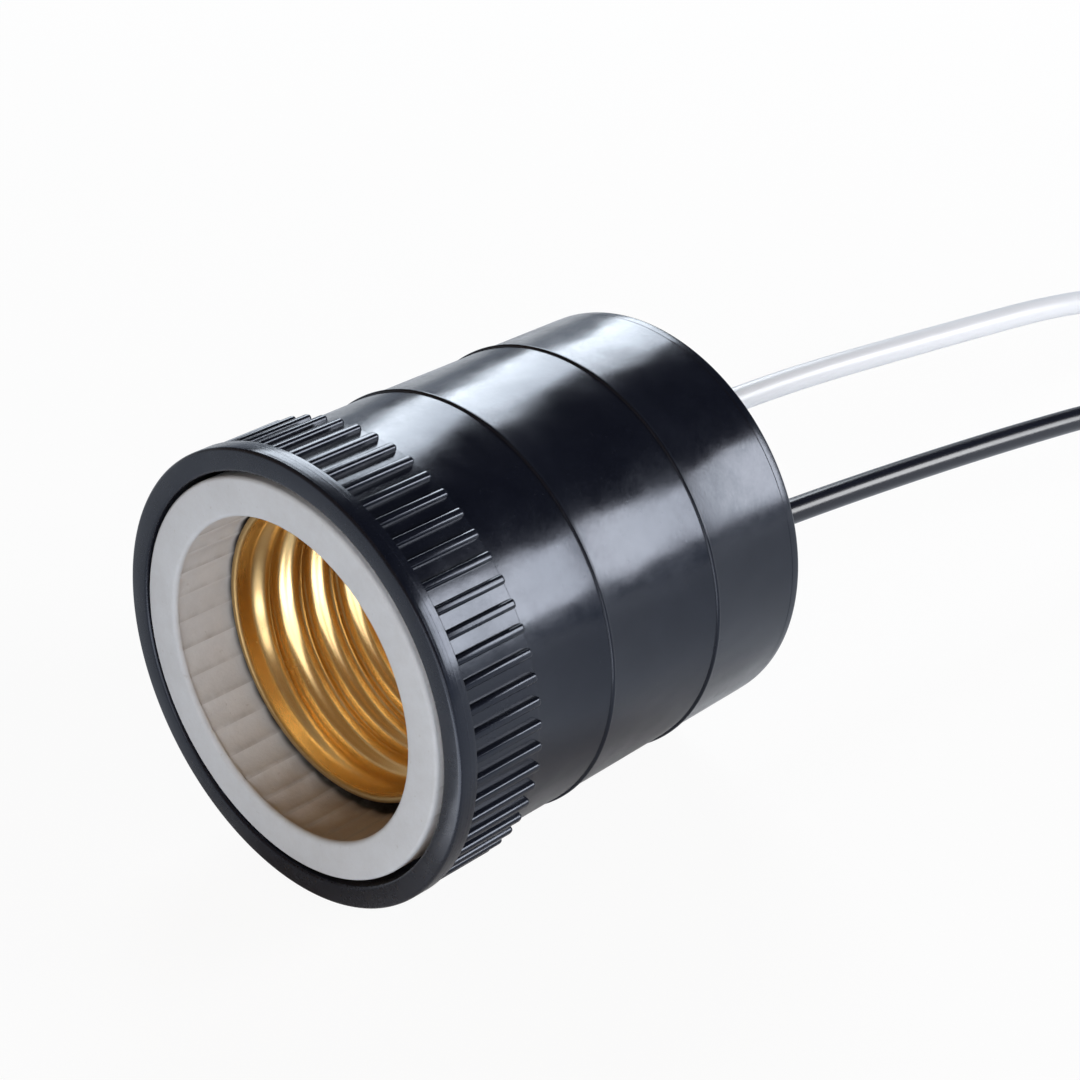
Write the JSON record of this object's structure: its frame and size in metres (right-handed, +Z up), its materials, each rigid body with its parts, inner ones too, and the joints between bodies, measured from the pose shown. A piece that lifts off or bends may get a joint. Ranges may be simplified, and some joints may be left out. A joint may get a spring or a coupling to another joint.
{
  "type": "screw lamp socket",
  "caption": "Screw lamp socket: black ribbed moulded housing, porcelain lining, gold threaded shell, sprung centre contact, and separate white and black leads.",
  "frame": {"origin": "on the socket's axis, at the front edge of the threaded shell", "axes": "+Y along the socket's axis from the mouth to the leads, +Z up with the socket lying on its side, +X to the right seen from the mouth"},
  "size_m": [0.0485, 0.201, 0.041],
  "materials": {
    "moulding": "satin",
    "porcelain": "matt",
    "shell_metal": "bright",
    "contact_metal": "bright",
    "plated_steel": "plated",
    "white_insulation": "gloss",
    "black_insulation": "gloss",
    "tinned_copper": "tinned"
  },
  "bodies": {
    "socket": {"housing": "moulding", "ceramic_core": "porcelain", "screw_shell": "shell_metal", "shell_base": "shell_metal", "centre_leaf": "contact_metal", "centre_rivet": "contact_metal", "shell_rivet_lug": "shell_metal", "shell_rivet_washer": "shell_metal", "rivet_washer": "plated_steel", "neutral_lug": "plated_steel", "live_lug": "plated_steel", "white_lead": "white_insulation", "black_lead": "black_insulation", "white_conductor": "tinned_copper", "black_conductor": "tinned_copper", "white_bare_end": "tinned_copper", "black_bare_end": "tinned_copper"},
    "contact": {"contact_button": "contact_metal"}
  },
  "joints": [
    {"name": "contact_press", "type": "slide", "parent": "socket", "child": "contact", "axis": [0, 1, 0], "range_m": [0, 0.0016], "stiffness_N_per_m": 2500, "deforming": ["centre_leaf"]}
  ]
}
